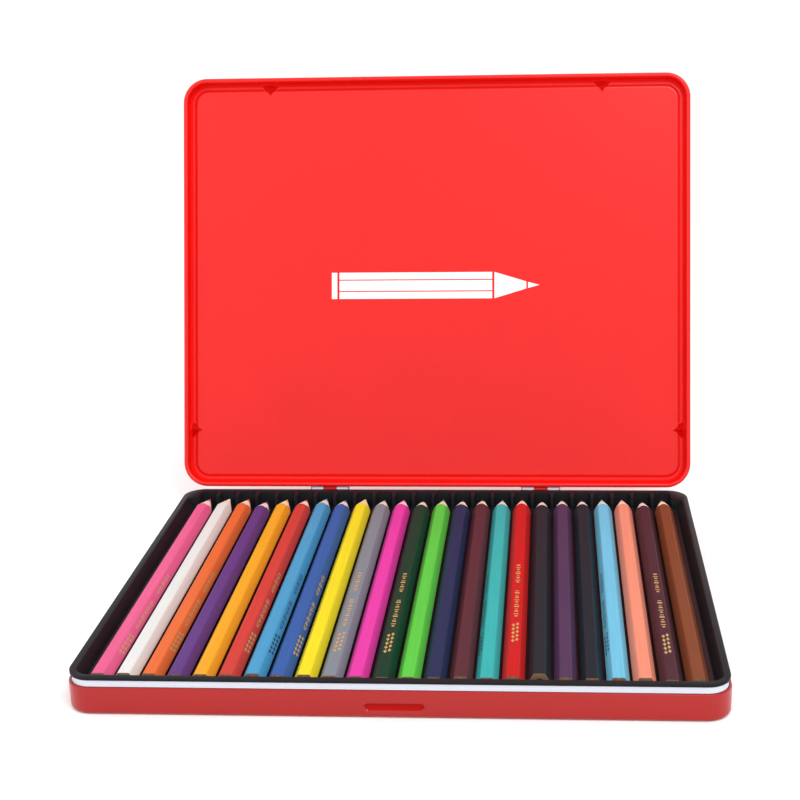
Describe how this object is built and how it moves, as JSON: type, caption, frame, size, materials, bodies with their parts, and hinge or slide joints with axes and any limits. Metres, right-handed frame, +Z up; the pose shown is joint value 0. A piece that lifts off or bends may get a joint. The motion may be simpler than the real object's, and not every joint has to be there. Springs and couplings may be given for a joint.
{
  "type": "coloured pencil tin",
  "caption": "Flat hinged metal tin, open, with a formed tray of hexagonal coloured pencils lying side by side.",
  "frame": {"origin": "centre of the base's flat underside", "axes": "+X along the row of pencils, +Y from the front towards the hinges, +Z up"},
  "size_m": [0.2304, 0.2424, 0.1924],
  "materials": {
    "base_lacquer": "glossy lacquer on tinplate, with a white collar",
    "lid_lacquer": "glossy lacquer on tinplate",
    "tray_plastic": "vacuum-formed polystyrene sheet, satin",
    "pin_steel": "drawn steel wire",
    "pink_casing": "glossy lacquer on wood, bare wood on the cone and the blunt end",
    "white_casing": "glossy lacquer on wood, bare wood on the cone and the blunt end",
    "orange_casing": "glossy lacquer on wood, bare wood on the cone and the blunt end",
    "purple_casing": "glossy lacquer on wood, bare wood on the cone and the blunt end",
    "yolk_yellow_casing": "glossy lacquer on wood, bare wood on the cone and the blunt end",
    "coral_red_casing": "glossy lacquer on wood, bare wood on the cone and the blunt end",
    "light_blue_casing": "glossy lacquer on wood, bare wood on the cone and the blunt end",
    "blue_casing": "glossy lacquer on wood, bare wood on the cone and the blunt end",
    "yellow_casing": "glossy lacquer on wood, bare wood on the cone and the blunt end",
    "grey_casing": "glossy lacquer on wood, bare wood on the cone and the blunt end",
    "magenta_casing": "glossy lacquer on wood, bare wood on the cone and the blunt end",
    "dark_green_casing": "glossy lacquer on wood, bare wood on the cone and the blunt end",
    "light_green_casing": "glossy lacquer on wood, bare wood on the cone and the blunt end",
    "indigo_casing": "glossy lacquer on wood, bare wood on the cone and the blunt end",
    "burgundy_casing": "glossy lacquer on wood, bare wood on the cone and the blunt end",
    "teal_casing": "glossy lacquer on wood, bare wood on the cone and the blunt end",
    "red_casing": "glossy lacquer on wood, bare wood on the cone and the blunt end",
    "black_casing": "glossy lacquer on wood, bare wood on the cone and the blunt end",
    "dark_purple_casing": "glossy lacquer on wood, bare wood on the cone and the blunt end",
    "charcoal_casing": "glossy lacquer on wood, bare wood on the cone and the blunt end",
    "sky_blue_casing": "glossy lacquer on wood, bare wood on the cone and the blunt end",
    "salmon_casing": "glossy lacquer on wood, bare wood on the cone and the blunt end",
    "maroon_casing": "glossy lacquer on wood, bare wood on the cone and the blunt end",
    "brown_casing": "glossy lacquer on wood, bare wood on the cone and the blunt end",
    "pink_core": "waxy coloured core",
    "white_core": "waxy coloured core",
    "orange_core": "waxy coloured core",
    "purple_core": "waxy coloured core",
    "yolk_yellow_core": "waxy coloured core",
    "coral_red_core": "waxy coloured core",
    "light_blue_core": "waxy coloured core",
    "blue_core": "waxy coloured core",
    "yellow_core": "waxy coloured core",
    "grey_core": "waxy coloured core",
    "magenta_core": "waxy coloured core",
    "dark_green_core": "waxy coloured core",
    "light_green_core": "waxy coloured core",
    "indigo_core": "waxy coloured core",
    "burgundy_core": "waxy coloured core",
    "teal_core": "waxy coloured core",
    "red_core": "waxy coloured core",
    "black_core": "waxy coloured core",
    "dark_purple_core": "waxy coloured core",
    "charcoal_core": "waxy coloured core",
    "sky_blue_core": "waxy coloured core",
    "salmon_core": "waxy coloured core",
    "maroon_core": "waxy coloured core",
    "brown_core": "waxy coloured core"
  },
  "bodies": {
    "base": {"base_shell": "base_lacquer", "hinge_pin_left": "pin_steel", "hinge_pin_right": "pin_steel"},
    "lid": {"lid_shell": "lid_lacquer"},
    "tray": {"pencil_tray": "tray_plastic"},
    "pencil_01": {"pencil_01_casing": "pink_casing", "pencil_01_core": "pink_core"},
    "pencil_02": {"pencil_02_casing": "white_casing", "pencil_02_core": "white_core"},
    "pencil_03": {"pencil_03_casing": "orange_casing", "pencil_03_core": "orange_core"},
    "pencil_04": {"pencil_04_casing": "purple_casing", "pencil_04_core": "purple_core"},
    "pencil_05": {"pencil_05_casing": "yolk_yellow_casing", "pencil_05_core": "yolk_yellow_core"},
    "pencil_06": {"pencil_06_casing": "coral_red_casing", "pencil_06_core": "coral_red_core"},
    "pencil_07": {"pencil_07_casing": "light_blue_casing", "pencil_07_core": "light_blue_core"},
    "pencil_08": {"pencil_08_casing": "blue_casing", "pencil_08_core": "blue_core"},
    "pencil_09": {"pencil_09_casing": "yellow_casing", "pencil_09_core": "yellow_core"},
    "pencil_10": {"pencil_10_casing": "grey_casing", "pencil_10_core": "grey_core"},
    "pencil_11": {"pencil_11_casing": "magenta_casing", "pencil_11_core": "magenta_core"},
    "pencil_12": {"pencil_12_casing": "dark_green_casing", "pencil_12_core": "dark_green_core"},
    "pencil_13": {"pencil_13_casing": "light_green_casing", "pencil_13_core": "light_green_core"},
    "pencil_14": {"pencil_14_casing": "indigo_casing", "pencil_14_core": "indigo_core"},
    "pencil_15": {"pencil_15_casing": "burgundy_casing", "pencil_15_core": "burgundy_core"},
    "pencil_16": {"pencil_16_casing": "teal_casing", "pencil_16_core": "teal_core"},
    "pencil_17": {"pencil_17_casing": "red_casing", "pencil_17_core": "red_core"},
    "pencil_18": {"pencil_18_casing": "black_casing", "pencil_18_core": "black_core"},
    "pencil_19": {"pencil_19_casing": "dark_purple_casing", "pencil_19_core": "dark_purple_core"},
    "pencil_20": {"pencil_20_casing": "charcoal_casing", "pencil_20_core": "charcoal_core"},
    "pencil_21": {"pencil_21_casing": "sky_blue_casing", "pencil_21_core": "sky_blue_core"},
    "pencil_22": {"pencil_22_casing": "salmon_casing", "pencil_22_core": "salmon_core"},
    "pencil_23": {"pencil_23_casing": "maroon_casing", "pencil_23_core": "maroon_core"},
    "pencil_24": {"pencil_24_casing": "brown_casing", "pencil_24_core": "brown_core"}
  },
  "joints": [
    {"name": "lid_hinge", "type": "hinge", "parent": "base", "child": "lid", "pos_m": [0, 0.09411, 0.0128], "axis": [-1, 0, 0], "range_deg": [-107, 0]},
    {"name": "tray_lift", "type": "slide", "parent": "base", "child": "tray", "axis": [0, 0, 1], "range_m": [0, 0.06]},
    {"name": "pencil_01_lift", "type": "slide", "parent": "tray", "child": "pencil_01", "axis": [0, 0, 1], "range_m": [0, 0.04]},
    {"name": "pencil_02_lift", "type": "slide", "parent": "tray", "child": "pencil_02", "axis": [0, 0, 1], "range_m": [0, 0.04]},
    {"name": "pencil_03_lift", "type": "slide", "parent": "tray", "child": "pencil_03", "axis": [0, 0, 1], "range_m": [0, 0.04]},
    {"name": "pencil_04_lift", "type": "slide", "parent": "tray", "child": "pencil_04", "axis": [0, 0, 1], "range_m": [0, 0.04]},
    {"name": "pencil_05_lift", "type": "slide", "parent": "tray", "child": "pencil_05", "axis": [0, 0, 1], "range_m": [0, 0.04]},
    {"name": "pencil_06_lift", "type": "slide", "parent": "tray", "child": "pencil_06", "axis": [0, 0, 1], "range_m": [0, 0.04]},
    {"name": "pencil_07_lift", "type": "slide", "parent": "tray", "child": "pencil_07", "axis": [0, 0, 1], "range_m": [0, 0.04]},
    {"name": "pencil_08_lift", "type": "slide", "parent": "tray", "child": "pencil_08", "axis": [0, 0, 1], "range_m": [0, 0.04]},
    {"name": "pencil_09_lift", "type": "slide", "parent": "tray", "child": "pencil_09", "axis": [0, 0, 1], "range_m": [0, 0.04]},
    {"name": "pencil_10_lift", "type": "slide", "parent": "tray", "child": "pencil_10", "axis": [0, 0, 1], "range_m": [0, 0.04]},
    {"name": "pencil_11_lift", "type": "slide", "parent": "tray", "child": "pencil_11", "axis": [0, 0, 1], "range_m": [0, 0.04]},
    {"name": "pencil_12_lift", "type": "slide", "parent": "tray", "child": "pencil_12", "axis": [0, 0, 1], "range_m": [0, 0.04]},
    {"name": "pencil_13_lift", "type": "slide", "parent": "tray", "child": "pencil_13", "axis": [0, 0, 1], "range_m": [0, 0.04]},
    {"name": "pencil_14_lift", "type": "slide", "parent": "tray", "child": "pencil_14", "axis": [0, 0, 1], "range_m": [0, 0.04]},
    {"name": "pencil_15_lift", "type": "slide", "parent": "tray", "child": "pencil_15", "axis": [0, 0, 1], "range_m": [0, 0.04]},
    {"name": "pencil_16_lift", "type": "slide", "parent": "tray", "child": "pencil_16", "axis": [0, 0, 1], "range_m": [0, 0.04]},
    {"name": "pencil_17_lift", "type": "slide", "parent": "tray", "child": "pencil_17", "axis": [0, 0, 1], "range_m": [0, 0.04]},
    {"name": "pencil_18_lift", "type": "slide", "parent": "tray", "child": "pencil_18", "axis": [0, 0, 1], "range_m": [0, 0.04]},
    {"name": "pencil_19_lift", "type": "slide", "parent": "tray", "child": "pencil_19", "axis": [0, 0, 1], "range_m": [0, 0.04]},
    {"name": "pencil_20_lift", "type": "slide", "parent": "tray", "child": "pencil_20", "axis": [0, 0, 1], "range_m": [0, 0.04]},
    {"name": "pencil_21_lift", "type": "slide", "parent": "tray", "child": "pencil_21", "axis": [0, 0, 1], "range_m": [0, 0.04]},
    {"name": "pencil_22_lift", "type": "slide", "parent": "tray", "child": "pencil_22", "axis": [0, 0, 1], "range_m": [0, 0.04]},
    {"name": "pencil_23_lift", "type": "slide", "parent": "tray", "child": "pencil_23", "axis": [0, 0, 1], "range_m": [0, 0.04]},
    {"name": "pencil_24_lift", "type": "slide", "parent": "tray", "child": "pencil_24", "axis": [0, 0, 1], "range_m": [0, 0.04]}
  ]
}
